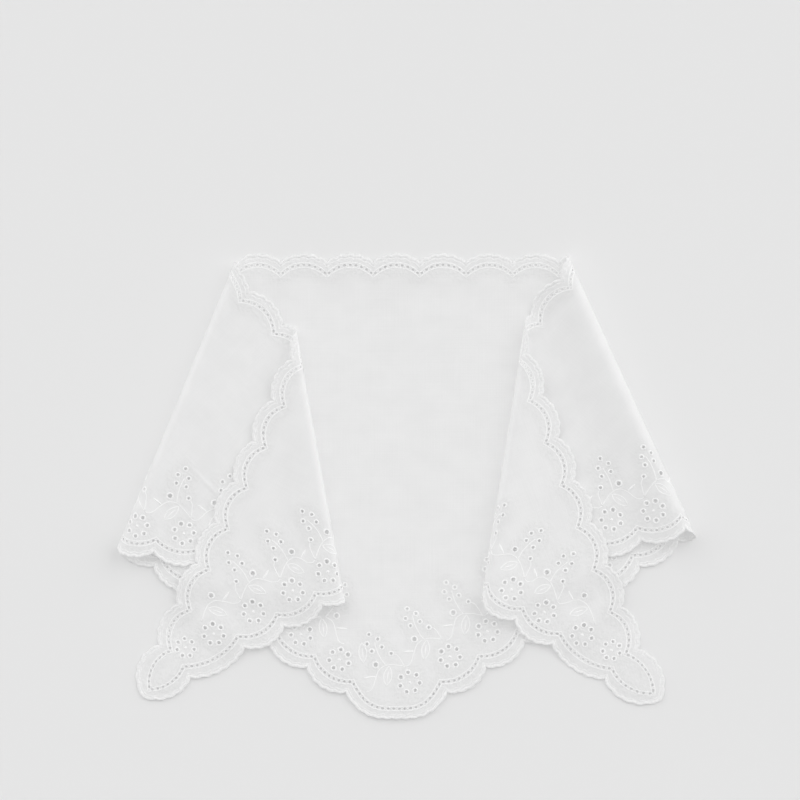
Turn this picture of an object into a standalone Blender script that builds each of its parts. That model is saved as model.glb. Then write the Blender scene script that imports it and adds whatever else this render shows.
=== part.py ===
"""A white cotton triangle kerchief with scalloped edges, both ends folded back on themselves
and forward again, lying flat. Metres, +Z up, seen from above with the long edge at the back."""

import math

import bpy
import bmesh
from mathutils import Matrix, Vector
from mathutils.geometry import delaunay_2d_cdt
from mathutils.kdtree import KDTree

# The flat pattern: x along the long edge from its middle, y = 0 on the line between its scallops
EDGE_PITCH = 0.0292          # scallops of the long edge
EDGE_SIDE_SCALLOPS = 13      # to each side of the middle one
EDGE_BULGE = 0.0050
LEG_START = Vector((0.0322, -0.2711))    # notch beside the apex
LEG_END = Vector((0.4041, -0.0260))      # last notch before the tip
LEG_SCALLOPS = 14
WIDE_SCALLOP = 0.0405        # the one beside the tip
LEG_BULGE = 0.0055
APEX_BULGE = 0.0165
ROUND = 2.2                  # how full a scallop is: 2 for a plain arc, more for a squarer one
FULL = 3.4

# The two tips, both as if on the right, and how far their edges bulge
TIP_COLUMNS = ("x", "y", "upper_bulge", "lower_bulge")
LEFT_TIP = (0.4297, -0.0045, 0.0083, 0.0062)
RIGHT_TIP = (0.4308, 0.0022, 0.0075, 0.0078)

# The cloth and how its layers lie
CLOTH = 0.0010
LAYER_RISE = 0.0020          # from the middle of one layer to the middle of the next
EDGE_CLEAR = 0.0085          # how far past an edge the layer above stays up
STEP_DOWN = 0.0110           # the width over which it then comes down
FALL_LENGTH = 0.0300         # from the top of a rolled fold down to its layer

# The folds, outwards from the middle. top and bottom are the ends of the outer edge as it lies,
# radius is that of the soft roll, slack the cloth that the roll takes up at its top and bottom,
# slide how far the turned layer lies down along the fold, and skew how much more for each metre out
FOLD_COLUMNS = ("top", "bottom", "radius", "slack_top", "slack_bottom", "slide", "skew")
LEFT_FOLDS = (
    ((-0.1062, -0.0113), (-0.1742, -0.1770), 0.0055, 0.0121, 0.0095, 0.0026, 0.005),
    ((-0.0627, -0.0460), (-0.0324, -0.2142), 0.0038, 0.0030, 0.0070, -0.0013, -0.059),
)
RIGHT_FOLDS = (
    ((0.1112, -0.0038), (0.1862, -0.1688), 0.0060, 0.0091, 0.0142, -0.0017, 0.023),
    ((0.0797, -0.0460), (0.0539, -0.2092), 0.0048, 0.0090, 0.0139, -0.0010, -0.025),
)

# Soft swells of the cloth: their layer, middle, half length, half width, turn in degrees
# and height
SWELL_COLUMNS = ("layer", "x", "y", "length", "width", "turn", "height")
SWELLS = (
    (2, -0.118, -0.105, 0.050, 0.016, 65, 0.0012),
    (2, 0.128, -0.110, 0.055, 0.015, 115, 0.0014),
    (3, -0.078, -0.130, 0.060, 0.018, 95, 0.0012),
    (3, 0.092, -0.140, 0.060, 0.018, 82, 0.0014),
    (1, 0.000, -0.285, 0.060, 0.012, 0, 0.0018),
    (1, -0.075, -0.240, 0.030, 0.010, -33, 0.0012),
    (1, 0.078, -0.238, 0.030, 0.010, 33, 0.0012),
)

# How finely the sheet is divided
SCALLOP_STEPS = 5
APEX_STEPS = 10
GRID = 0.0110
REACH = 0.44                 # how far the rows of points go to each side
ROLL_ROWS = 8
ROLL_STEP = 0.0110
ROLL_END = 0.0300            # how far past the ends of a fold's edge its rows go
ROLL_MARGIN = 0.0070
ROW_SPACING = 0.87           # of the grid's rows, over the spacing in a row
BORDER_GAP = 0.0035
MERGE = 0.00001

# Middle of the folded kerchief's box, in the pattern's own axes
LYING_CENTRE = Vector((0.00629, -0.14149))

COTTON = (0.86, 0.86, 0.85, 1.0)


def named(columns, row):
    return dict(zip(columns, row))


def scallop(start, end, bulge, steps=SCALLOP_STEPS, fullness=ROUND):
    """Points from start up to, but not with, end: a curve that swells to the left of its chord."""
    along = (end - start).normalized()
    outward = Vector((-along.y, along.x))
    points = []
    for step in range(steps):
        side = -math.cos(math.pi * step / steps)
        height = bulge * (1 - abs(side) ** fullness)
        points.append(start.lerp(end, (side + 1) / 2) + outward * height)
    return points


def mirrored(point):
    return Vector((-point.x, point.y))


def half_outline(tip_row):
    """The outline from the middle scallop of the long edge round to the apex, on the right."""
    values = named(TIP_COLUMNS, tip_row)
    tip = Vector((values["x"], values["y"]))
    notch = Vector((EDGE_PITCH / 2, 0))
    points = []
    for _ in range(EDGE_SIDE_SCALLOPS):
        following = notch + Vector((EDGE_PITCH, 0))
        points += scallop(notch, following, EDGE_BULGE)
        notch = following
    points += scallop(notch, tip, values["upper_bulge"])
    points += scallop(tip, LEG_END, values["lower_bulge"])
    down = (LEG_START - LEG_END).normalized()
    notch = LEG_END + down * WIDE_SCALLOP
    points += scallop(LEG_END, notch, LEG_BULGE)
    step = (LEG_START - notch) / LEG_SCALLOPS
    for _ in range(LEG_SCALLOPS):
        points += scallop(notch, notch + step, LEG_BULGE)
        notch = notch + step
    return points + [LEG_START]


def outline():
    """The whole flat outline, clockwise from the notch right of the middle scallop."""
    right = half_outline(RIGHT_TIP)
    left = [mirrored(point) for point in reversed(half_outline(LEFT_TIP))]
    apex = scallop(LEG_START, mirrored(LEG_START), APEX_BULGE, APEX_STEPS, FULL)[1:]
    notch = Vector((EDGE_PITCH / 2, 0))
    middle = scallop(mirrored(notch), notch, EDGE_BULGE)[1:]
    return right + apex + left + middle


def smooth(value):
    """0 below 0, 1 above 1, and a soft step between."""
    value = min(max(value, 0.0), 1.0)
    return value * value * (3 - 2 * value)


class Fold:
    """One rolled fold: the cloth past its outer edge is laid back over the layer it comes from."""

    def __init__(self, side, row):
        values = named(FOLD_COLUMNS, row)
        self.top = Vector(values["top"])
        self.down = Vector(values["bottom"]) - self.top
        self.length = self.down.length
        self.down.normalize()
        self.outward = side * Vector((-self.down.y, self.down.x))
        self.radius = values["radius"]
        self.slack_top = values["slack_top"]
        self.slack_bottom = values["slack_bottom"]
        self.slide = values["slide"]
        self.skew = values["skew"]

    def measure(self, point):
        """How far a point lies down along the fold and out past its outer edge."""
        offset = point - self.top
        return offset.dot(self.down), offset.dot(self.outward)

    def slack(self, along):
        return self.slack_top + (self.slack_bottom - self.slack_top) * along / self.length

    def turn(self, point):
        """Where the point lies after folding, and its angle round the roll from 0 to pi."""
        along, out = self.measure(point)
        part = (out + self.radius) / (2 * self.radius + self.slack(along))
        if part <= 0:
            return point.copy(), 0.0
        if part >= 1:
            return self.turned(point), math.pi
        angle = math.pi * part
        inside = self.radius * (1 - math.sin(angle))
        return self.top + self.down * (along + self.slide * part) - self.outward * inside, angle

    def holds(self, point):
        """True in the roll and just beside it."""
        along, out = self.measure(point)
        return -self.radius - ROLL_MARGIN < out < self.radius + self.slack(along) + ROLL_MARGIN

    def turned(self, point):
        """Where the flat turned layer, carried on past the roll, would have a point."""
        along, out = self.measure(point)
        moved = self.slide + self.skew * (out - self.radius - self.slack(along))
        return self.top + self.down * (along + moved) + self.outward * (self.slack(along) - out)

    def settled(self, point):
        """0 beside the roll and 1 where the turned layer has come down."""
        inside = -self.measure(point)[1]
        return smooth((inside - self.radius) / FALL_LENGTH)

    def rise(self, point):
        """Height of the turned layer over the one below."""
        settled = self.settled(point)
        return 2 * self.radius * (1 - settled) + LAYER_RISE * settled

    def climb(self, angle):
        """Height of the cloth at this angle round the roll."""
        return self.radius * (1 - math.cos(angle))

    def before(self, along, part):
        """The unfolded place of a point at this part of the way round the roll."""
        out = part * (2 * self.radius + self.slack(along)) - self.radius
        return self.top + self.down * along + self.outward * out

    def unturn(self, point):
        """Where a point of the turned layer was before folding."""
        along, out = self.measure(point)
        along += self.skew * (out + self.radius) - self.slide
        return self.top + self.down * along + self.outward * (self.slack(along) - out)


class Side:
    """The left or right end of the kerchief, with its two folds."""

    def __init__(self, side, rows):
        self.first = Fold(side, rows[0])
        self.second = Fold(-side, rows[1])
        self.leg_under = [Vector((side * point.x, point.y)) for point in (LEG_START, LEG_END)]
        self.leg_turned = [self.first.turned(point) for point in self.leg_under]

    def over(self, point, leg):
        """1 where the layer that ends at this leg lies beneath, and 0 well outside it."""
        along = (leg[1] - leg[0]).normalized()
        inward = Vector((-along.y, along.x))
        if inward.dot(self.first.top - leg[0]) < 0:
            inward = -inward
        inside = inward.dot(point - leg[0])
        return smooth((inside + EDGE_CLEAR + STEP_DOWN) / STEP_DOWN)

    def near_roll(self, point):
        """True where the rows of a roll divide the sheet."""
        flat, angle = self.first.turn(point)
        if self.first.holds(point):
            return True
        return angle == math.pi and self.second.holds(flat)

    def middle_height(self, point):
        """Height of the turned layer at a point, over that of the bottom layer's flat parts."""
        return swell(point, 1) + self.first.rise(point) + swell(point, 2) * self.first.settled(point)

    def place(self, point):
        """Where a point of the flat pattern lies in the folded kerchief."""
        flat, angle = self.first.turn(point)
        if angle < math.pi:
            return lying(flat, swell(flat, 1) + self.first.climb(angle))
        turned, angle = self.second.turn(flat)
        middle = self.middle_height(turned)
        if angle < math.pi:
            return lying(turned, middle + self.second.climb(angle))
        bottom = LAYER_RISE + swell(turned, 1)
        gap = middle - swell(turned, 1)
        top = self.second.rise(turned) - LAYER_RISE + swell(turned, 3) * self.second.settled(turned)
        over_bottom = self.over(turned, self.leg_under)
        over_middle = self.over(turned, self.leg_turned)
        return lying(turned, over_bottom * bottom + over_middle * gap + top)


def lying(point, height):
    return Vector((point.x, point.y, height + CLOTH / 2))


def swell(point, layer):
    """Height of a layer's own soft swells at a point."""
    height = 0.0
    for row in SWELLS:
        values = named(SWELL_COLUMNS, row)
        if values["layer"] != layer:
            continue
        offset = Matrix.Rotation(-math.radians(values["turn"]), 2) @ (point - Vector((values["x"], values["y"])))
        distance = math.hypot(offset.x / values["length"], offset.y / values["width"])
        height += values["height"] * (1 - smooth(distance / 2))
    return height


def is_inside(point, loop):
    """True where a point of the flat pattern is inside its outline."""
    crossings = 0
    for start, end in zip(loop, loop[1:] + loop[:1]):
        if (start.y > point.y) != (end.y > point.y):
            crossing = start.x + (end.x - start.x) * (point.y - start.y) / (end.y - start.y)
            crossings += crossing > point.x
    return crossings % 2 == 1


def roll_points(side):
    """Rows of points along both folds of one end, at even steps round each roll."""
    points = []
    for fold in (side.first, side.second):
        count = round((fold.length + 2 * ROLL_END) / ROLL_STEP)
        for row in range(-1, ROLL_ROWS + 2):
            for step in range(count + 1):
                along = step * ROLL_STEP - ROLL_END
                place = fold.before(along, row / ROLL_ROWS)
                points.append(place if fold is side.first else side.first.unturn(place))
    return points


def grid_points(sides):
    """Points in even staggered rows over the rest of the pattern."""
    points = []
    rows = round(-LEG_START.y / (GRID * ROW_SPACING)) + 2
    columns = round(REACH / GRID)
    for row in range(rows):
        for column in range(-columns, columns + 1):
            point = Vector(((column + (row % 2) / 2) * GRID, -row * GRID * ROW_SPACING))
            side = sides[0] if point.x < 0 else sides[1]
            if not side.near_roll(point):
                points.append(point)
    return points


def flat_sheet(sides):
    """The pattern divided into near-even triangles: its points, and the corners of each triangle."""
    loop = outline()
    border = KDTree(len(loop))
    for index, point in enumerate(loop):
        border.insert(point.to_3d(), index)
    border.balance()
    inner = grid_points(sides)
    for side in sides:
        inner += roll_points(side)
    inner = [p for p in inner if is_inside(p, loop) and border.find(p.to_3d())[2] > BORDER_GAP]
    ring = list(range(len(loop)))
    points, _, faces, _, _, _ = delaunay_2d_cdt(loop + inner, [], [ring], 1, MERGE)
    return points, faces


def cotton_material():
    material = bpy.data.materials.new("cotton")
    material.use_nodes = True
    shader = material.node_tree.nodes["Principled BSDF"]
    shader.inputs["Base Color"].default_value = COTTON
    shader.inputs["Roughness"].default_value = 0.9
    shader.inputs["Metallic"].default_value = 0.0
    material.diffuse_color = COTTON
    return material


def build_kerchief(collection):
    sides = (Side(-1, LEFT_FOLDS), Side(1, RIGHT_FOLDS))
    points, faces = flat_sheet(sides)
    sheet = bmesh.new()
    for point in points:
        side = sides[0] if point.x < 0 else sides[1]
        sheet.verts.new(side.place(point) - LYING_CENTRE.to_3d())
    sheet.verts.ensure_lookup_table()
    for face in faces:
        sheet.faces.new([sheet.verts[index] for index in face])
    mesh = bpy.data.meshes.new("kerchief")
    sheet.to_mesh(mesh)
    sheet.free()
    mesh.shade_smooth()
    mesh.materials.append(cotton_material())
    kerchief = bpy.data.objects.new("kerchief", mesh)
    collection.objects.link(kerchief)
    thickness = kerchief.modifiers.new("cloth", "SOLIDIFY")
    thickness.thickness = CLOTH
    thickness.offset = 0
    thickness.use_even_offset = True
    return kerchief


def main():
    for item in list(bpy.data.objects):
        bpy.data.objects.remove(item)
    collection = bpy.data.collections.new("triangle kerchief")
    bpy.context.scene.collection.children.link(collection)
    build_kerchief(collection)


main()
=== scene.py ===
# A white cotton kerchief with eyelet embroidery, its ends folded back and forward again.
# It is drawn as a flat pattern first: x runs along the long edge from its middle, and y = 0 is
# the line between that edge's scallops. Folding the pattern gives the shape in which it lies.

import math
import random

import bmesh
import bpy
import numpy as np
from mathutils.geometry import delaunay_2d_cdt
from mathutils.kdtree import KDTree
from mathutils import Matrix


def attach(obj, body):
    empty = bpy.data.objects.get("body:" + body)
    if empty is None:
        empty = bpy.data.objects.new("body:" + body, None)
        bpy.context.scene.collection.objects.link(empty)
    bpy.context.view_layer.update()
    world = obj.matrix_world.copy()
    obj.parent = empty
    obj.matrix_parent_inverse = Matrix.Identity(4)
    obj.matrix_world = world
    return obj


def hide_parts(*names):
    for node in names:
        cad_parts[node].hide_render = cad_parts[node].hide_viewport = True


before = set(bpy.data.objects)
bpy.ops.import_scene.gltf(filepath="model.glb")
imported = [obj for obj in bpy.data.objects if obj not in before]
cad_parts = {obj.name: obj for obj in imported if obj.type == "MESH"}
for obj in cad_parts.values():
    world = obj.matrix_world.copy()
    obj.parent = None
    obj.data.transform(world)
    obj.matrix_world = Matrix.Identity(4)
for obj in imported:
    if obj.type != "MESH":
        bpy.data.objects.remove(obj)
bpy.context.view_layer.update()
print("stage: frame loaded")

chance = random.Random(5)

pattern = {
    "pitch": 0.0292,                   # scallops of the long edge
    "sideScallops": 13,                # to each side of its middle one
    "legStart": (0.0322, -0.2711),     # notch beside the apex
    "legEnd": (0.4041, -0.0260),       # last notch before a tip
    "legScallops": 14,
    "wideScallop": 0.0405,             # the one beside a tip
    "leftTip": {"x": 0.4297, "y": -0.0045, "upper": 0.0083, "lower": 0.0062},
    "rightTip": {"x": 0.4308, "y": 0.0022, "upper": 0.0075, "lower": 0.0078},
    "round": 2.2,                      # how full a scallop is: 2 for an arc, more for squarer
    "full": 3.4,
    "area": 0.1358,
    "flat": (0.861, 0.296),
    "corner": (0.43, 0.29),            # keeps the cloth's own coordinates above zero
}

# The lines that follow the edge, by their inset from it at the notches
edgeLine = {"inset": 0.0, "tipInset": 0.0, "edge": 0.0050, "leg": 0.0055, "apex": 0.0165, "tip": 1.0}
eyeletLine = {"inset": 0.0082, "tipInset": 0.0070, "edge": 0.0063, "leg": 0.0050, "apex": 0.0170,
              "tip": 0.6}


def unit(vector):
    return vector / np.linalg.norm(vector)


def mirrored(point):
    return np.array((-point[0], point[1]))


def moved(line, inward):
    # The same line, further in from the edge
    return {**line, "inset": line["inset"] + inward, "tipInset": line["tipInset"] + inward}


def oneScallop(start, end, bulge, fullness, eyelets, lobes=5):
    return {"start": start, "end": end, "bulge": bulge, "fullness": fullness,
            "eyelets": eyelets, "lobes": lobes}


def halfScallops(line, tip):
    # From the long edge's middle scallop round the right tip to the apex
    legStart = np.array(pattern["legStart"])
    legEnd = np.array(pattern["legEnd"])
    down = unit(legStart - legEnd)
    inward = np.array((down[1], -down[0])) * line["inset"]
    step = np.array((pattern["pitch"], 0))
    notch = np.array((pattern["pitch"] / 2, -line["inset"]))
    scallops = []
    for _ in range(pattern["sideScallops"]):
        scallops.append(oneScallop(notch, notch + step, line["edge"], pattern["round"], 9))
        notch = notch + step
    point = np.array((tip["x"], tip["y"]))
    waist = (np.array((notch[0], 0)) + legEnd) / 2
    point = point + unit(waist - point) * line["tipInset"]
    scallops.append(oneScallop(notch, point, tip["upper"] * line["tip"], pattern["round"], 9))
    scallops.append(oneScallop(point, legEnd + inward, tip["lower"] * line["tip"], pattern["round"], 8))
    wide = legEnd + down * pattern["wideScallop"]
    scallops.append(oneScallop(legEnd + inward, wide + inward, line["leg"], pattern["round"], 12, 6))
    step = (legStart - wide) / pattern["legScallops"]
    for count in range(pattern["legScallops"]):
        start = wide + step * count + inward
        scallops.append(oneScallop(start, start + step, line["leg"], pattern["round"], 9))
    return scallops


def allScallops(line):
    right = halfScallops(line, pattern["rightTip"])
    left = halfScallops(line, pattern["leftTip"])
    for scallop in left:
        scallop["start"], scallop["end"] = mirrored(scallop["end"]), mirrored(scallop["start"])
    left.reverse()
    apex = oneScallop(right[-1]["end"], left[0]["start"], line["apex"], pattern["full"], 20, 11)
    middle = oneScallop(left[-1]["end"], right[0]["start"], line["edge"], pattern["round"], 9)
    return right + [apex] + left + [middle]


def scallopPoints(scallop, spacing, lobeHeight=0.0):
    # From the start up to, but not with, the end; small lobes can run along the scallop
    along = scallop["end"] - scallop["start"]
    length = np.linalg.norm(along)
    steps = round(length / spacing)
    share = np.arange(steps) / steps
    height = scallop["bulge"] * (1 - np.abs(2 * share - 1) ** scallop["fullness"])
    height += lobeHeight * (np.abs(np.sin(math.pi * scallop["lobes"] * share)) - 0.5)
    outward = np.array((-along[1], along[0])) / length
    return scallop["start"] + np.outer(share, along) + np.outer(height, outward)


def wholeLine(line, spacing, lobeHeight=0.0):
    return np.vstack([scallopPoints(scallop, spacing, lobeHeight) for scallop in allScallops(line)])


def middlesAlong(points, count):
    # The middles of equal stretches of a path, and the path's direction at each
    lengths = np.linalg.norm(np.diff(points, axis=0), axis=1)
    reached = np.concatenate(((0.0,), np.cumsum(lengths)))
    wanted = (np.arange(count) + 0.5) / count * reached[-1]
    places = []
    for distance in wanted:
        step = min(np.searchsorted(reached, distance), len(lengths)) - 1
        start, end = points[step], points[step + 1]
        place = start + (end - start) * (distance - reached[step]) / lengths[step]
        places.append((place, unit(end - start)))
    return places


def curveThrough(points, spacing=0.0010):
    # A smooth path through given points
    points = np.array(points, dtype=float)
    padded = np.vstack((2 * points[0] - points[1], points, 2 * points[-1] - points[-2]))
    path = []
    for before, start, end, after in zip(padded, padded[1:], padded[2:], padded[3:]):
        steps = max(2, round(np.linalg.norm(end - start) / spacing))
        for share in np.arange(steps) / steps:
            path.append(0.5 * (2 * start + (end - before) * share
                               + (2 * before - 5 * start + 4 * end - after) * share ** 2
                               + (3 * start - before - 3 * end + after) * share ** 3))
    return np.array(path + [points[-1]])


# Folding

lying = {
    "rise": 0.0020,                    # from the middle of one layer to the middle of the next
    "clear": 0.0085,                   # how far past an edge the layer above stays up
    "stepDown": 0.0200,                # the width over which it then comes down
    "fall": 0.0300,                    # from the top of a rolled fold down to its layer
    "bottom": 0.0005,                  # the bottom layer's middle over the floor
    "pastEnds": 0.03,                  # how far a roll's rows run past both ends of its fold
    "centre": (0.00629, -0.14149),     # the pattern's point that lies at the origin
}

# Each fold's outer edge as it lies, the radius of its soft roll, the cloth that the roll takes
# up at its top and bottom, how far the turned layer slides down, and its skew for each metre
leftFolds = (
    {"top": (-0.1062, -0.0113), "bottom": (-0.1742, -0.1770), "radius": 0.0055,
     "slackTop": 0.0121, "slackBottom": 0.0095, "slide": 0.0026, "skew": 0.005},
    {"top": (-0.0627, -0.0460), "bottom": (-0.0324, -0.2142), "radius": 0.0038,
     "slackTop": 0.0030, "slackBottom": 0.0070, "slide": -0.0013, "skew": -0.059},
)
rightFolds = (
    {"top": (0.1112, -0.0038), "bottom": (0.1862, -0.1688), "radius": 0.0060,
     "slackTop": 0.0091, "slackBottom": 0.0142, "slide": -0.0017, "skew": 0.023},
    {"top": (0.0797, -0.0460), "bottom": (0.0539, -0.2092), "radius": 0.0048,
     "slackTop": 0.0090, "slackBottom": 0.0139, "slide": -0.0010, "skew": -0.025},
)

# Soft swells and creases: layer from the bottom, middle as it lies, half length, half width, turn
# in degrees and height. The swells of the bottom layer and the last two lift its edges and the
# tails a little, so that they throw a soft shadow
swellColumns = ("layer", "x", "y", "length", "width", "turn", "height")
swells = (
    (2, -0.118, -0.105, 0.050, 0.016, 65, 0.0012),
    (2, 0.128, -0.110, 0.055, 0.015, 115, 0.0014),
    (3, -0.078, -0.130, 0.060, 0.018, 95, 0.0012),
    (3, 0.092, -0.140, 0.060, 0.018, 82, 0.0014),
    (1, 0.000, -0.001, 0.062, 0.014, 0, 0.0010),
    (1, 0.000, -0.270, 0.044, 0.034, 0, 0.0017),
    (1, -0.062, -0.234, 0.036, 0.028, -33, 0.0013),
    (1, 0.064, -0.232, 0.036, 0.028, 33, 0.0013),
    (1, -0.140, -0.200, 0.026, 0.014, -35, 0.0012),
    (1, 0.150, -0.196, 0.026, 0.014, 35, 0.0012),
    (3, -0.134, -0.254, 0.032, 0.016, 37, 0.0014),
    (3, 0.146, -0.254, 0.032, 0.016, -42, 0.0014),
)
creases = (
    (2, -0.110, -0.052, 0.012, 0.0045, 4, -0.0006),
    (2, -0.144, -0.115, 0.004, 0.0010, -31, -0.0006),
    (2, -0.118, -0.141, 0.011, 0.0012, -46, 0.0004),
)


def softStep(value):
    value = np.clip(value, 0.0, 1.0)
    return value * value * (3 - 2 * value)


def swell(points, layer):
    height = np.zeros(len(points))
    for row in swells + creases:
        values = dict(zip(swellColumns, row))
        if values["layer"] != layer:
            continue
        turn = math.radians(values["turn"])
        offset = points - (values["x"], values["y"])
        along = offset @ (math.cos(turn), math.sin(turn))
        across = offset @ (-math.sin(turn), math.cos(turn))
        distance = np.hypot(along / values["length"], across / values["width"])
        height += values["height"] * (1 - softStep(distance / 2))
    return height


class Fold:
    # One rolled fold: the cloth past its outer edge is laid back over the layer it comes from

    def __init__(self, side, sizes):
        self.sizes = sizes
        self.top = np.array(sizes["top"])
        down = np.array(sizes["bottom"]) - self.top
        self.length = np.linalg.norm(down)
        self.down = unit(down)
        self.outward = side * np.array((-self.down[1], self.down[0]))
        self.radius = sizes["radius"]

    def measure(self, points):
        # How far points lie down along the fold and out past its outer edge
        offset = points - self.top
        return offset @ self.down, offset @ self.outward

    def slack(self, along):
        change = self.sizes["slackBottom"] - self.sizes["slackTop"]
        return self.sizes["slackTop"] + change * along / self.length

    def at(self, along, out):
        return self.top + np.outer(along, self.down) + np.outer(out, self.outward)

    def turned(self, points):
        along, out = self.measure(points)
        slide = self.sizes["slide"] + self.sizes["skew"] * (out - self.radius - self.slack(along))
        return self.at(along + slide, self.slack(along) - out)

    def unturned(self, points):
        along, out = self.measure(points)
        along = along + self.sizes["skew"] * (out + self.radius) - self.sizes["slide"]
        return self.at(along, self.slack(along) - out)

    def turn(self, points):
        # Where points lie after folding, and how far round the roll they are, from 0 to 1
        along, out = self.measure(points)
        share = np.clip((out + self.radius) / (2 * self.radius + self.slack(along)), 0, 1)
        inside = self.radius * (1 - np.sin(math.pi * share))
        rolled = self.at(along + self.sizes["slide"] * share, -inside)
        placed = np.where((share > 0)[:, None], rolled, points)
        return np.where((share >= 1)[:, None], self.turned(points), placed), share

    def settled(self, points):
        # 0 beside the roll and 1 where the turned layer has come down
        return softStep((-self.measure(points)[1] - self.radius) / lying["fall"])

    def rise(self, points):
        settled = self.settled(points)
        return 2 * self.radius * (1 - settled) + lying["rise"] * settled

    def climb(self, share):
        return self.radius * (1 - np.cos(math.pi * share))

    def rows(self, spacing, step, margin):
        # Flat points in rows along the fold, close together round its roll
        count = round((self.length + 2 * lying["pastEnds"]) / spacing)
        along = np.arange(count + 1) * spacing - lying["pastEnds"]
        rows = []
        cloth = 2 * self.radius + self.slack(along)
        for row in range(-margin, round(cloth.mean() / step) + margin + 1):
            shift = (row % 2) * spacing / 2
            out = row * step * cloth / cloth.mean() - self.radius
            rows.append(self.at(along + shift, out))
        return np.vstack(rows)


class Side:
    # The left or right end of the kerchief, with its two folds

    def __init__(self, side, folds):
        self.first = Fold(side, folds[0])
        self.second = Fold(-side, folds[1])
        ends = [np.array(pattern[name]) * (side, 1) for name in ("legStart", "legEnd")]
        self.legs = (np.array(ends), self.first.turned(np.array(ends)))

    def over(self, points, leg):
        # 1 where the layer that ends at this leg lies beneath, and 0 well outside it
        along = unit(leg[1] - leg[0])
        inward = np.array((-along[1], along[0]))
        if inward @ (self.first.top - leg[0]) < 0:
            inward = -inward
        inside = (points - leg[0]) @ inward
        return softStep((inside + lying["clear"] + lying["stepDown"]) / lying["stepDown"])

    def place(self, points):
        flat, firstShare = self.first.turn(points)
        turned, secondShare = self.second.turn(flat)
        bottom = swell(turned, 1)
        middle = bottom + self.first.rise(turned) + swell(turned, 2) * self.first.settled(turned)
        top = self.second.rise(turned) - lying["rise"] + swell(turned, 3) * self.second.settled(turned)
        top += self.over(turned, self.legs[0]) * (lying["rise"] + bottom)
        top += self.over(turned, self.legs[1]) * (middle - bottom)
        height = np.where(secondShare < 1, middle + self.second.climb(secondShare), top)
        height = np.where(firstShare < 1, swell(flat, 1) + self.first.climb(firstShare), height)
        place = np.where((firstShare < 1)[:, None], flat, turned)
        return np.column_stack((place - lying["centre"], height + lying["bottom"]))


leftSide = Side(-1, leftFolds)
rightSide = Side(1, rightFolds)


def folded(points):
    return np.where(points[:, :1] < 0, leftSide.place(points), rightSide.place(points))


def laidOut(points, heights):
    # Folded places of flat points that stand this high over the middle of the cloth
    step = 0.0001
    place = folded(points)
    across = folded(points + (step, 0)) - place
    along = folded(points + (0, step)) - place
    normal = np.cross(across, along)
    normal /= np.linalg.norm(normal, axis=1)[:, None]
    return place + normal * np.asarray(heights)[:, None]


def makeObject(name, places, faces, coords, material):
    mesh = bpy.data.meshes.new(name)
    mesh.from_pydata(places.tolist(), [], faces)
    corners = np.empty(len(mesh.loops), dtype=np.int32)
    mesh.loops.foreach_get("vertex_index", corners)
    layer = mesh.uv_layers.new(name="pattern")
    layer.data.foreach_set("uv", coords[corners].astype(np.float32).ravel())
    mesh.shade_smooth()
    mesh.materials.append(material)
    item = bpy.data.objects.new(name, mesh)
    bpy.context.scene.collection.objects.link(item)
    return item


# Embroidery, charted on the flat pattern

borderEyelet = {"length": 0.0021, "width": 0.0016, "rim": 0.00060, "rimFlatness": 0.8}

sprig = {
    # One repeat of the leg, from the middle of its flower, as on the right leg
    "petals": 7,
    "ringRadius": 0.0063,
    "ringTurn": -4,
    "bigPetal": 3,
    "petalEyelet": 0.0020,
    "bigPetalEyelet": 0.0024,
    "heart": 0.0020,
    "bigEyelet": (0.0030, 0.0270),
    "bigEyeletSize": 0.0026,
    "spray": ((-0.0015, 0.0460), (0.0040, 0.0430), (-0.0025, 0.0400), (0.0065, 0.0380),
              (0.0005, 0.0355)),
    "tendrilEyelet": (0.0125, 0.0340),
    "smallEyeletSize": 0.0017,
    "rim": 0.00108,
    "stems": (
        ((-0.0030, 0.0100), (-0.0005, 0.0108), (0.0015, 0.0140), (0.0030, 0.0190),
         (0.0050, 0.0238), (0.0092, 0.0265), (0.0145, 0.0268), (0.0211, 0.0260)),
        ((0.0092, 0.0265), (0.0060, 0.0310), (0.0035, 0.0360), (0.0020, 0.0410)),
        ((0.0138, 0.0338), (0.0165, 0.0328), (0.0185, 0.0300), (0.0208, 0.0262)),
    ),
    "stemWidth": 0.00075,
    "leafBase": (0.0113, 0.0258),
    "leafTip": (0.0095, 0.0138),
    "leafWidth": 0.0050,
    "leafRim": 0.0008,
    "leafVein": 0.0009,
    "veinInset": 0.2,                  # from each end of the leaf, as a share of its length
    "budBase": (0.0030, 0.0196),
    "budTip": (-0.0042, 0.0190),
    "budWidth": 0.0014,
    "flatness": 0.9,
}

sprigs = {
    "step": (0.0241, 0.0159),          # from one repeat to the next along the right leg
    "first": (0.0341, -0.2494),        # the first leg scallop's flower
    "count": 14,
    "apexFlower": (0.0082, -0.2646),
    "lastFlower": (0.3721, -0.0265),
    "tipFlower": (0.3885, -0.0144),
    "tipRingRadius": 0.0055,
    "tipEyelet": 0.0018,
    "upperLimit": -0.0125,             # nothing comes nearer to the long edge than this
}


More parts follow.
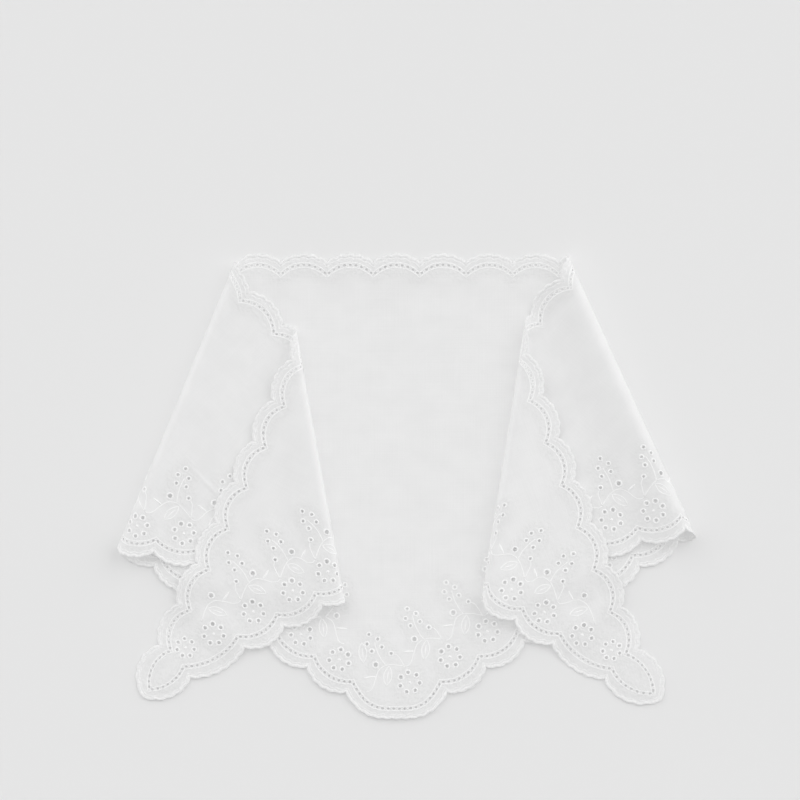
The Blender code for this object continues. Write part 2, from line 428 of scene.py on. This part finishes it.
# Places that were sewn a little off the even pattern: x, y and how far off in x and y, all in
# millimetres and with the left side's as if on the right
unevenLeft = (
    (34, -249, 2.0, -1.0), (58, -233, 2.0, -1.0), (179, -154, 4.0, -1.0), (181, -120, 2.5, 0.0),
    (203, -138, 4.0, 0.0), (205, -104, 1.5, 0.5), (277, -50, 0.5, -0.5), (299, -74, 2.0, 0.0),
    (301, -40, -1.5, -2.0), (323, -59, -0.5, -1.5), (326, -25, -1.5, -2.0), (347, -43, -0.5, -1.0),
    (372, -26, -0.5, -1.0), (388, -14, -0.5, -1.0), (0, -264, 0.0, 0.0), (10, -235, 0.0, 0.0),
)
unevenRight = (
    (34, -249, -0.5, 1.0), (37, -215, -1.5, 1.5), (58, -233, -1.0, 1.0), (181, -120, 2.5, 1.0),
    (203, -138, 3.5, 0.5), (205, -104, 1.0, 1.0), (227, -122, 0.5, 1.0), (277, -50, 1.5, -1.0),
    (301, -40, 2.0, -1.5), (323, -59, 4.0, -1.0), (326, -25, -0.5, -4.0), (347, -43, 2.0, -3.0),
    (350, -16, -1.5, -3.5), (372, -26, 0.0, -2.5), (388, -14, 0.0, -1.0), (8, -264, 0.0, 0.0),
    (0, -225, 0.0, 0.0),
)
sewnOff = {
    "reach": 0.011,                    # how far round its place a shift is felt
    "hold": 0.02,                      # what keeps far-off points where they are
}


def uneven(point):
    # The pattern's point as sewn
    side = -1 if point[0] < 0 else 1
    rows = np.array(unevenLeft if side < 0 else unevenRight) / 1000
    distance = np.hypot(rows[:, 0] - point[0] * side, rows[:, 1] - point[1])
    weights = np.exp(-(distance / sewnOff["reach"]) ** 2)
    shift = weights @ rows[:, 2:] / (weights.sum() + sewnOff["hold"])
    return np.array(point) + shift * (side, 1)


def eyelet(centre, length, width=None, along=(1.0, 0.0), rim=sprig["rim"]):
    return {"centre": np.array(centre), "length": length, "width": width or length,
            "along": np.array(along), "rim": rim}


def eyeletPath(item, grow, count):
    # Points round an eyelet, this far outside its clear opening
    angle = 2 * math.pi * np.arange(count) / count
    across = np.array((-item["along"][1], item["along"][0]))
    path = item["centre"] + np.outer(np.cos(angle) * (item["length"] / 2 + grow), item["along"])
    return path + np.outer(np.sin(angle) * (item["width"] / 2 + grow), across)


def satinCord(path, width, closed=False):
    # One cord of satin stitch on the flat pattern; its width may change along it
    return {"path": path, "width": np.broadcast_to(width, len(path)), "closed": closed}


def taperedCord(start, end, width, sections=9):
    # A padded shape with pointed ends
    share = (1 - np.cos(np.linspace(0, math.pi, sections))) / 2
    path = np.array(start) + np.outer(share, np.array(end) - np.array(start))
    return satinCord(path, width * np.maximum(np.sqrt(np.sin(math.pi * share)), 0.12))


def leafOutline(base, tip, width, sections=9):
    share = np.arange(sections) / sections
    along = tip - base
    outward = np.array((-along[1], along[0])) / np.linalg.norm(along)
    bow = np.outer(np.sin(math.pi * share) ** 0.8 * width / 2, outward)
    there = base + np.outer(share, along) + bow
    back = tip - np.outer(share, along) - bow
    return np.vstack((there, back))


stitching = {
    "thickest": 0.00042,               # over the cloth's middle, on its face and on its back
    "stripeWidth": 0.003,              # of the material's pattern, once round a cord
    "merge": 0.000001,
}


def stitch(name, cords, flatness, material, sides=6):
    # Draws the cords as round curves on the flat pattern, presses them flat and folds them. They
    # stand out on both sides of the cloth, because the turned layers show its back
    curve = bpy.data.curves.new(name, "CURVE")
    curve.dimensions = "3D"
    curve.twist_mode = "Z_UP"
    curve.bevel_depth = 1.0
    curve.bevel_resolution = sides // 2 - 2
    curve.use_fill_caps = True
    for cord in cords:
        spline = curve.splines.new("POLY")
        spline.points.add(len(cord["path"]) - 1)
        spots = np.column_stack((cord["path"], np.zeros(len(cord["path"])), np.ones(len(cord["path"]))))
        spline.points.foreach_set("co", spots.ravel())
        spline.points.foreach_set("radius", cord["width"] / 2)
        spline.use_cyclic_u = cord["closed"]
    drawn = bpy.data.objects.new(name, curve)
    mesh = bpy.data.meshes.new_from_object(drawn)
    mesh.name = name
    bpy.data.objects.remove(drawn)
    bpy.data.curves.remove(curve)
    spots = np.empty(len(mesh.vertices) * 3)
    mesh.vertices.foreach_get("co", spots)
    spots = spots.reshape(-1, 3)
    heights = np.clip(spots[:, 2] * flatness, -stitching["thickest"], stitching["thickest"])
    mesh.vertices.foreach_set("co", laidOut(spots[:, :2], heights).ravel())
    unrollStripes(mesh, cords, sides)
    sewn = bmesh.new()
    sewn.from_mesh(mesh)
    bmesh.ops.remove_doubles(sewn, verts=sewn.verts, dist=stitching["merge"])
    bmesh.ops.recalc_face_normals(sewn, faces=sewn.faces)
    sewn.to_mesh(mesh)
    sewn.free()
    mesh.shade_smooth()
    mesh.materials.clear()
    mesh.materials.append(material)
    item = bpy.data.objects.new(name, mesh)
    bpy.context.scene.collection.objects.link(item)
    print(f"stage: {name}, {len(cords)} cords, {len(mesh.polygons)} faces")
    return item


def unrollStripes(mesh, cords, sides):
    # The curve's own UVs run from 0 to 1 along each cord; here they become metres
    layer = mesh.uv_layers[0]
    layer.name = "pattern"
    coords = np.empty(len(mesh.loops) * 2)
    layer.data.foreach_get("uv", coords)
    coords = coords.reshape(-1, 2)
    scales = []
    for cord in cords:
        path = np.vstack((cord["path"], cord["path"][:1])) if cord["closed"] else cord["path"]
        length = np.linalg.norm(np.diff(path, axis=0), axis=1).sum()
        scales.append(np.full((len(path) - 1) * sides * 4, length))
    scales = np.concatenate(scales)
    coords[len(coords) - len(scales):, 0] *= scales
    coords[:, 1] *= stitching["stripeWidth"]
    layer.data.foreach_set("uv", coords.ravel())


def flowerEyelets(centre, side, radius, size, bigSize):
    eyelets = []
    for petal in range(sprig["petals"]):
        angle = 2 * math.pi * petal / sprig["petals"] + math.radians(sprig["ringTurn"])
        spot = centre + radius * np.array((side * math.cos(angle), math.sin(angle)))
        eyelets.append(eyelet(spot, bigSize if petal == sprig["bigPetal"] else size))
    return eyelets


def inBounds(points):
    return np.max(np.atleast_2d(points)[:, 1]) < sprigs["upperLimit"]


def chartSprig(chart, origin, side, parts):
    # Adds one repeat's eyelets, stems, leaves and hearts to the chart
    def at(point):
        return uneven(np.array(origin) + np.array(point) * (side, 1))

    if "flower" in parts:
        middle = at((0, 0))
        chart["eyelets"] += flowerEyelets(middle, side, sprig["ringRadius"], sprig["petalEyelet"],
                                          sprig["bigPetalEyelet"])
        chart["hearts"].append((middle, sprig["heart"]))
    if "spray" in parts:
        chart["eyelets"].append(eyelet(at(sprig["bigEyelet"]), sprig["bigEyeletSize"]))
        for spot in sprig["spray"] + (sprig["tendrilEyelet"],):
            if inBounds(at(spot)):
                chart["eyelets"].append(eyelet(at(spot), sprig["smallEyeletSize"]))
        for stem in sprig["stems"]:
            path = np.array([at(point) for point in stem])
            if inBounds(path):
                chart["stems"].append(curveThrough(path))
        if inBounds(at(sprig["budBase"])):
            chart["buds"].append((at(sprig["budBase"]), at(sprig["budTip"])))
    if "leaf" in parts:
        chart["leaves"].append((at(sprig["leafBase"]), at(sprig["leafTip"])))


def chartEmbroidery():
    chart = {"eyelets": [], "stems": [], "buds": [], "leaves": [], "hearts": []}
    step = np.array(sprigs["step"])
    for side in (-1, 1):
        for count in range(sprigs["count"]):
            origin = (np.array(sprigs["first"]) + step * count) * (side, 1)
            chartSprig(chart, origin, side, ("flower", "spray", "leaf"))
        chartSprig(chart, np.array(sprigs["lastFlower"]) * (side, 1), side, ("flower",))
        centre = uneven(np.array(sprigs["tipFlower"]) * (side, 1))
        chart["eyelets"] += flowerEyelets(centre, side, sprigs["tipRingRadius"], sprigs["tipEyelet"],
                                          sprigs["tipEyelet"])
        chart["hearts"].append((centre, sprig["heart"]))
    apex = np.array(sprigs["apexFlower"])
    chartSprig(chart, apex, 1, ("flower", "spray", "leaf"))
    chartSprig(chart, apex - step, 1, ("spray", "leaf"))
    chartSprig(chart, (np.array(sprigs["first"]) - step) * (-1, 1), -1, ("leaf",))
    return chart


def chartBorder():
    eyelets = []
    for scallop in allScallops(eyeletLine):
        points = np.vstack((scallopPoints(scallop, 0.0007), scallop["end"]))
        for centre, along in middlesAlong(points, scallop["eyelets"]):
            size = chance.uniform(0.92, 1.06)
            eyelets.append(eyelet(centre, borderEyelet["length"] * size, borderEyelet["width"] * size,
                                  along, borderEyelet["rim"]))
    return eyelets


# Materials

weave = {
    "warp": (1600, 25, 1),             # uneven threads along each way of the weave
    "weft": (25, 1600, 1),
    "cloud": (55, 70, 1),              # broad patches of a denser or thinner weave
    "dimplesAndShade": (420, 420, 1),          # puckers by the stitching, with their height and the painted shade that darkens the cloth there
    "dimpleHeight": 14.0,
    "dimplePaintedShade": 0.9,
}

satin = {
    "slant": 0.35,
    "fuzz": (900, 300, 1),
}

# Each finish's thread spacing, darkest and lightest grey, roughness, sheen and bump depth
finishes = {
    "cottonCloth": {"pitch": 0.0004, "dark": 0.76, "light": 0.82, "roughness": 0.9, "sheen": 0.1,
                    "depth": 0.00006},
    "brightThread": {"pitch": 0.00045, "dark": 0.85, "light": 0.94, "roughness": 0.6, "sheen": 0.3,
                     "depth": 0.00006},
    "rimThread": {"pitch": 0.0006, "dark": 0.70, "light": 0.96, "roughness": 0.7, "sheen": 0.1,
                  "depth": 0.00012},
}


def grey(value):
    return (value, value, value, 1)


def makeGroup(name, inputs, outputs):
    group = bpy.data.node_groups.new(name, "ShaderNodeTree")
    for label, kind, value in inputs:
        socket = group.interface.new_socket(name=label, in_out="INPUT", socket_type=kind)
        if value is not None:
            socket.default_value = value
    for label in outputs:
        group.interface.new_socket(name=label, in_out="OUTPUT", socket_type="NodeSocketFloat")
    return group, group.nodes.new("NodeGroupInput"), group.nodes.new("NodeGroupOutput")


def mathNode(tree, operation, first, second=None):
    node = tree.nodes.new("ShaderNodeMath")
    node.operation = operation
    for socket, value in zip(node.inputs, (first, second)):
        if value is None:
            continue
        if isinstance(value, (int, float)):
            socket.default_value = value
        else:
            tree.links.new(value, socket)
    return node.outputs[0]


def stretchedNoise(tree, place, scale, detail):
    mapping = tree.nodes.new("ShaderNodeMapping")
    mapping.inputs["Scale"].default_value = scale
    noise = tree.nodes.new("ShaderNodeTexNoise")
    noise.inputs["Scale"].default_value = 1.0
    noise.inputs["Detail"].default_value = detail
    tree.links.new(place, mapping.inputs["Vector"])
    tree.links.new(mapping.outputs["Vector"], noise.inputs["Vector"])
    return noise.outputs["Fac"]


def weaveGroup():
    # A plain weave of fine threads, a few of them thicker than the rest; it puckers by the stitching,
    # and painted shade darkens it there
    inputs = (("Place", "NodeSocketVector", None), ("Pitch", "NodeSocketFloat", 0.0004),
              ("PuckerAndShade", "NodeSocketFloat", 0.0))
    group, given, result = makeGroup("plainWeave", inputs, ("Height", "Tone"))
    split = group.nodes.new("ShaderNodeSeparateXYZ")
    group.links.new(given.outputs["Place"], split.inputs[0])
    waves = []
    for axis in ("X", "Y"):
        turns = mathNode(group, "DIVIDE", split.outputs[axis], given.outputs["Pitch"])
        waves.append(mathNode(group, "SINE", mathNode(group, "MULTIPLY", turns, math.pi)))
    crossing = mathNode(group, "MULTIPLY", waves[0], waves[1])
    warp = stretchedNoise(group, given.outputs["Place"], weave["warp"], 2)
    weft = stretchedNoise(group, given.outputs["Place"], weave["weft"], 2)
    slubs = mathNode(group, "ADD", warp, weft)
    height = mathNode(group, "ADD", mathNode(group, "MULTIPLY", crossing, 0.5), slubs)
    dimplesAndShade = stretchedNoise(group, given.outputs["Place"], weave["dimplesAndShade"], 2)
    deep = mathNode(group, "MULTIPLY", dimplesAndShade, weave["dimpleHeight"])
    pulled = mathNode(group, "MULTIPLY", deep, given.outputs["PuckerAndShade"])
    cloud = stretchedNoise(group, given.outputs["Place"], weave["cloud"], 3)
    patches = mathNode(group, "SUBTRACT", cloud, 0.5)
    tone = mathNode(group, "ADD", mathNode(group, "MULTIPLY", slubs, 0.5), patches)
    # Painted shade: the tone is made darker round the stitching, following the dimples' noise
    paintedShade = mathNode(group, "MULTIPLY", dimplesAndShade, weave["dimplePaintedShade"])
    paintedShadeByStitches = mathNode(group, "MULTIPLY", paintedShade, given.outputs["PuckerAndShade"])
    group.links.new(mathNode(group, "ADD", height, pulled), result.inputs["Height"])
    group.links.new(mathNode(group, "SUBTRACT", tone, paintedShadeByStitches), result.inputs["Tone"])
    return group


def threadGroup():
    # Satin stitches laid side by side across a cord
    inputs = (("Place", "NodeSocketVector", None), ("Pitch", "NodeSocketFloat", 0.00045))
    group, given, result = makeGroup("satinThreads", inputs, ("Height", "Tone"))
    split = group.nodes.new("ShaderNodeSeparateXYZ")
    group.links.new(given.outputs["Place"], split.inputs[0])
    slant = mathNode(group, "MULTIPLY", split.outputs["Y"], satin["slant"])
    slanted = mathNode(group, "ADD", split.outputs["X"], slant)
    turns = mathNode(group, "DIVIDE", slanted, given.outputs["Pitch"])
    wave = mathNode(group, "SINE", mathNode(group, "MULTIPLY", turns, 2 * math.pi))
    fuzz = stretchedNoise(group, given.outputs["Place"], satin["fuzz"], 2)
    height = mathNode(group, "ADD", mathNode(group, "MULTIPLY", wave, 0.5), fuzz)
    group.links.new(height, result.inputs["Height"])
    group.links.new(fuzz, result.inputs["Tone"])
    return group


def clothMaterial(name, group):
    finish = finishes[name]
    material = bpy.data.materials.new(name)
    material.use_nodes = True
    tree = material.node_tree
    shader = tree.nodes["Principled BSDF"]
    shader.inputs["Roughness"].default_value = finish["roughness"]
    shader.inputs["Specular IOR Level"].default_value = 0.25
    shader.inputs["Sheen Weight"].default_value = finish["sheen"]
    shader.inputs["Sheen Roughness"].default_value = 0.5
    place = tree.nodes.new("ShaderNodeUVMap")
    place.uv_map = "pattern"
    surface = tree.nodes.new("ShaderNodeGroup")
    surface.node_tree = group
    surface.inputs["Pitch"].default_value = finish["pitch"]
    tree.links.new(place.outputs["UV"], surface.inputs["Place"])
    # The puckers' mask, which also paints shade into the cloth's tone
    if "PuckerAndShade" in surface.inputs:
        puckeredAndShaded = tree.nodes.new("ShaderNodeAttribute")
        puckeredAndShaded.attribute_name = "puckeredAndShaded"
        tree.links.new(puckeredAndShaded.outputs["Fac"], surface.inputs["PuckerAndShade"])
    colours = tree.nodes.new("ShaderNodeMix")
    colours.data_type = "RGBA"
    colours.inputs["A"].default_value = grey(finish["dark"])
    colours.inputs["B"].default_value = grey(finish["light"])
    tree.links.new(surface.outputs["Tone"], colours.inputs["Factor"])
    tree.links.new(colours.outputs["Result"], shader.inputs["Base Color"])
    bump = tree.nodes.new("ShaderNodeBump")
    bump.inputs["Distance"].default_value = finish["depth"]
    bump.inputs["Strength"].default_value = 0.6
    tree.links.new(surface.outputs["Height"], bump.inputs["Height"])
    tree.links.new(bump.outputs["Normal"], shader.inputs["Normal"])
    return material


cotton = clothMaterial("cottonCloth", weaveGroup())
satinThreads = threadGroup()
thread = clothMaterial("brightThread", satinThreads)
rimThread = clothMaterial("rimThread", satinThreads)
print("stage: materials")

# The cloth itself

cloth = {
    "thickness": 0.00035,
    "grid": 0.0040,                    # spacing of the points over the flat parts
    "gridRows": 0.87,                  # of that spacing, from row to row
    "gridHalfWidth": 0.44,
    "gridDepth": 0.30,
    "outlineStep": 0.00097,
    "lobeHeight": 0.0009,
    "rollSpacing": 0.0045,             # along a roll, and round it
    "rollStep": 0.0014,
    "creaseLength": (-1.8, 1.81, 0.12),    # rows of points along and across each crease, in its
    "creaseWidth": (-2, 2.1, 0.5),         # own half lengths and half widths
    "gap": 0.0011,                     # least distance from grid points to an edge or eyelet
    "holeUnderRim": 0.00012,           # how much wider the cloth is cut than the ring on it
    "puckerAndShadeReach": 0.0060,             # how far round an eyelet its stitching pulls at the cloth, and how far its painted shade reaches
}


def isInside(points, loop):
    following = np.roll(loop, -1, axis=0)
    inside = np.zeros(len(points), dtype=bool)
    for start, end in zip(loop, following):
        if start[1] == end[1]:
            continue
        spans = (start[1] > points[:, 1]) != (end[1] > points[:, 1])
        crossing = start[0] + (end[0] - start[0]) * (points[:, 1] - start[1]) / (end[1] - start[1])
        inside ^= spans & (crossing > points[:, 0])
    return inside


def treeOf(points):
    tree = KDTree(len(points))
    for index, point in enumerate(points):
        tree.insert((point[0], point[1], 0), index)
    tree.balance()
    return tree


def gridPoints(spacing):
    # Even staggered rows over the whole pattern
    rows = np.arange(0, cloth["gridDepth"], spacing * cloth["gridRows"])
    columns = np.arange(-cloth["gridHalfWidth"], cloth["gridHalfWidth"], spacing)
    x, y = np.meshgrid(columns, -rows)
    x = x + (np.arange(len(rows)) % 2)[:, None] * spacing / 2
    return np.column_stack((x.ravel(), y.ravel()))


def inRolls(points):
    # True for points that the rows along a roll divide instead
    taken = np.zeros(len(points), dtype=bool)
    for side, here in ((leftSide, points[:, 0] < 0), (rightSide, points[:, 0] >= 0)):
        flat, share = side.first.turn(points)
        margin = 2 * cloth["rollStep"]
        past = here & (share >= 1)
        for fold, places, reached in ((side.first, points, here), (side.second, flat, past)):
            along, out = fold.measure(places)
            beyond = fold.radius + fold.slack(along) + margin
            taken |= reached & (out > -fold.radius - margin) & (out < beyond)
    return taken


def insidePoints(loop, holes):
    points = gridPoints(cloth["grid"])
    points = [points[~inRolls(points)]]
    for side in (leftSide, rightSide):
        points.append(side.first.rows(cloth["rollSpacing"], cloth["rollStep"], 1))
        rows = side.second.rows(cloth["rollSpacing"], cloth["rollStep"], 1)
        points.append(side.first.unturned(rows))
    for row in creases:
        values = dict(zip(swellColumns, row))
        turn = math.radians(values["turn"])
        along = np.arange(*cloth["creaseLength"]) * values["length"]
        for across in np.arange(*cloth["creaseWidth"]) * values["width"]:
            x = values["x"] + along * math.cos(turn) - across * math.sin(turn)
            y = values["y"] + along * math.sin(turn) + across * math.cos(turn)
            points.append(leftSide.first.unturned(np.column_stack((x, y))))
    points = np.vstack(points)
    points = points[isInside(points, loop)]
    border = treeOf(loop)
    openings = treeOf([item["centre"] for item in holes])
    kept = []
    for point in points:
        spot = (point[0], point[1], 0)
        if border.find(spot)[2] < cloth["gap"]:
            continue
        _, index, distance = openings.find(spot)
        if distance > holes[index]["length"] / 2 + cloth["gap"]:
            kept.append(point)
    return np.array(kept)


def keepRimsCrisp(mesh):
    # Or the shading of the cut edges would spread over the flat cloth beside them
    sheet = bmesh.new()
    sheet.from_mesh(mesh)
    for edge in sheet.edges:
        edge.smooth = not edge.is_boundary
    sheet.to_mesh(mesh)
    sheet.free()


def makeCloth(holes, material):
    loop = wholeLine(edgeLine, cloth["outlineStep"], cloth["lobeHeight"])
    points = list(loop)
    rings = [list(range(len(loop)))[::-1]]
    for item in holes:
        path = eyeletPath(item, cloth["holeUnderRim"], 8)
        rings.append(list(range(len(points), len(points) + len(path))))
        points += list(path)
    points += list(insidePoints(loop, holes))
    print(f"stage: pattern of {len(points)} points and {len(holes)} holes")
    # Faces that lie only in the outline, which is ring 0, are cloth; the others fill the eyelets
    spots = [tuple(point) for point in points]
    points, _, faces, _, _, wholes = delaunay_2d_cdt(spots, [], rings, 1, 1e-6)
    faces = [face for face, whole in zip(faces, wholes) if max(whole) == 0]
    points = np.array([tuple(point) for point in points])
    item = makeObject("kerchiefCloth", folded(points), faces, points + pattern["corner"], material)
    stitches = treeOf([hole["centre"] for hole in holes])
    distances = np.array([stitches.find((point[0], point[1], 0))[2] for point in points])
    # The mask for the puckers and for the painted shade round the eyelets
    pulled = softStep(1.5 - distances / cloth["puckerAndShadeReach"])
    puckeredAndShaded = item.data.attributes.new("puckeredAndShaded", "FLOAT", "POINT")
    puckeredAndShaded.data.foreach_set("value", pulled.astype(np.float32))
    keepRimsCrisp(item.data)
    thickness = item.modifiers.new("thickness", "SOLIDIFY")
    thickness.thickness = cloth["thickness"]
    thickness.offset = 0
    thickness.use_even_offset = True
    print(f"stage: cloth, {len(faces)} flat triangles")
    return item


chart = chartEmbroidery()
borderEyelets = chartBorder()
kerchiefCloth = makeCloth(chart["eyelets"] + borderEyelets, cotton)

# The stitching

rimCords = []
for item in chart["eyelets"]:
    width = item["rim"] * chance.uniform(0.9, 1.1)
    rimCords.append(satinCord(eyeletPath(item, width / 2, 12), width, closed=True))
for item in borderEyelets:
    rimCords.append(satinCord(eyeletPath(item, item["rim"] / 2, 8), item["rim"], closed=True))
eyeletRims = stitch("eyeletRims", rimCords, borderEyelet["rimFlatness"], thread)

edging = {
    "width": 0.0022,                   # the thick rim, which overhangs the cut edge a little
    "overhang": 0.0001,
    "flatness": 0.36,
    "ridgeInset": 0.0030,              # a thinner ridge beside it
    "ridgeWidth": 0.0013,
    "lineWidth": 0.0007,               # the lines on both sides of the border's eyelets
    "lineFlatness": 0.9,
    "lineShift": 0.0016,
    "lineStep": 0.0011,
}

edgeCords = []
for inset, width in ((edging["width"] / 2 - edging["overhang"], edging["width"]),
                     (edging["ridgeInset"], edging["ridgeWidth"])):
    path = wholeLine(moved(edgeLine, inset), cloth["outlineStep"], cloth["lobeHeight"])
    edgeCords.append(satinCord(path, width, closed=True))
satinRim = stitch("satinRim", edgeCords, edging["flatness"], rimThread, 8)
lineCords = []
for shift in (-edging["lineShift"], edging["lineShift"]):
    path = wholeLine(moved(eyeletLine, shift), edging["lineStep"])
    lineCords.append(satinCord(path, edging["lineWidth"], closed=True))
borderLines = stitch("borderLines", lineCords, edging["lineFlatness"], thread)

sprayCords = [satinCord(path, sprig["stemWidth"]) for path in chart["stems"]]
for base, tip in chart["buds"]:
    sprayCords.append(taperedCord(base, tip, sprig["budWidth"]))
for base, tip in chart["leaves"]:
    outline = leafOutline(base, tip, sprig["leafWidth"])
    sprayCords.append(satinCord(outline, sprig["leafRim"], closed=True))
    inset = (tip - base) * sprig["veinInset"]
    sprayCords.append(taperedCord(base + inset, tip - inset, sprig["leafVein"]))
for centre, size in chart["hearts"]:
    sprayCords.append(taperedCord(centre - (size / 2, 0), centre + (size / 2, 0), size, 7))
flowerSprays = stitch("flowerSprays", sprayCords, sprig["flatness"], thread)

stitched = [eyeletRims, satinRim, borderLines, flowerSprays]
for piece in [kerchiefCloth] + stitched:
    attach(piece, "root")
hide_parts("kerchief")

# Floor, light and camera

setting = {
    "floorSize": 6.0,
    "floorColour": (0.775, 0.775, 0.775, 1),
    "skyStrength": 0.385,
    # Each lamp's strength, angular size in degrees, place seen from the middle, and if it casts
    # shadows. The keys make the soft shadows and the fill lights them up evenly. The low lamps
    # brighten the folds and the stitching that face them
    "lamps": {
        "rightKey": {"strength": 0.90, "angle": 60, "place": (1.0, 0.70, 0.90), "shadows": True},
        "leftKey": {"strength": 0.80, "angle": 60, "place": (-0.9, 0.90, 0.90), "shadows": True},
        "overheadFill": {"strength": 0.685, "angle": 20, "place": (0.0, 0.0, 1.0), "shadows": False},
        "lowRight": {"strength": 0.80, "angle": 30, "place": (1.0, 0.0, 0.20), "shadows": False},
        "lowLeft": {"strength": 0.70, "angle": 30, "place": (-1.0, 0.0, 0.20), "shadows": False},
    },
    "cameraHeight": 2.5,
    "frameWidth": 0.504,
    "frameMiddle": (-0.0041, 0.0546),
}


def makeFloor():
    half = setting["floorSize"] / 2
    mesh = bpy.data.meshes.new("floor")
    sheet = bmesh.new()
    bmesh.ops.create_grid(sheet, x_segments=1, y_segments=1, size=half)
    sheet.to_mesh(mesh)
    sheet.free()
    material = bpy.data.materials.new("paleFloor")
    material.use_nodes = True
    shader = material.node_tree.nodes["Principled BSDF"]
    shader.inputs["Base Color"].default_value = setting["floorColour"]
    shader.inputs["Roughness"].default_value = 1.0
    shader.inputs["Specular IOR Level"].default_value = 0.0
    mesh.materials.append(material)
    floor = bpy.data.objects.new("floor", mesh)
    bpy.context.scene.collection.objects.link(floor)


def makeLight():
    world = bpy.data.worlds.new("studio")
    world.use_nodes = True
    background = world.node_tree.nodes["Background"]
    background.inputs["Color"].default_value = (1, 1, 1, 1)
    background.inputs["Strength"].default_value = setting["skyStrength"]
    bpy.context.scene.world = world
    for name, lamp in setting["lamps"].items():
        data = bpy.data.lights.new(name, "SUN")
        data.energy = lamp["strength"]
        data.angle = math.radians(lamp["angle"])
        data.use_shadow = lamp["shadows"]
        x, y, z = lamp["place"]
        item = bpy.data.objects.new(name, data)
        item.rotation_euler = (math.atan2(math.hypot(x, y), z), 0, math.atan2(y, x) + math.pi / 2)
        bpy.context.scene.collection.objects.link(item)


def makeCamera():
    data = bpy.data.cameras.new("camera")
    data.lens = data.sensor_width * setting["cameraHeight"] / setting["frameWidth"]
    data.clip_end = 20
    camera = bpy.data.objects.new("camera", data)
    camera.location = (*setting["frameMiddle"], setting["cameraHeight"])
    bpy.context.scene.collection.objects.link(camera)
    bpy.context.scene.camera = camera


makeFloor()
makeLight()
makeCamera()
bpy.context.scene.view_settings.view_transform = "Standard"
print("stage: floor, light and camera")
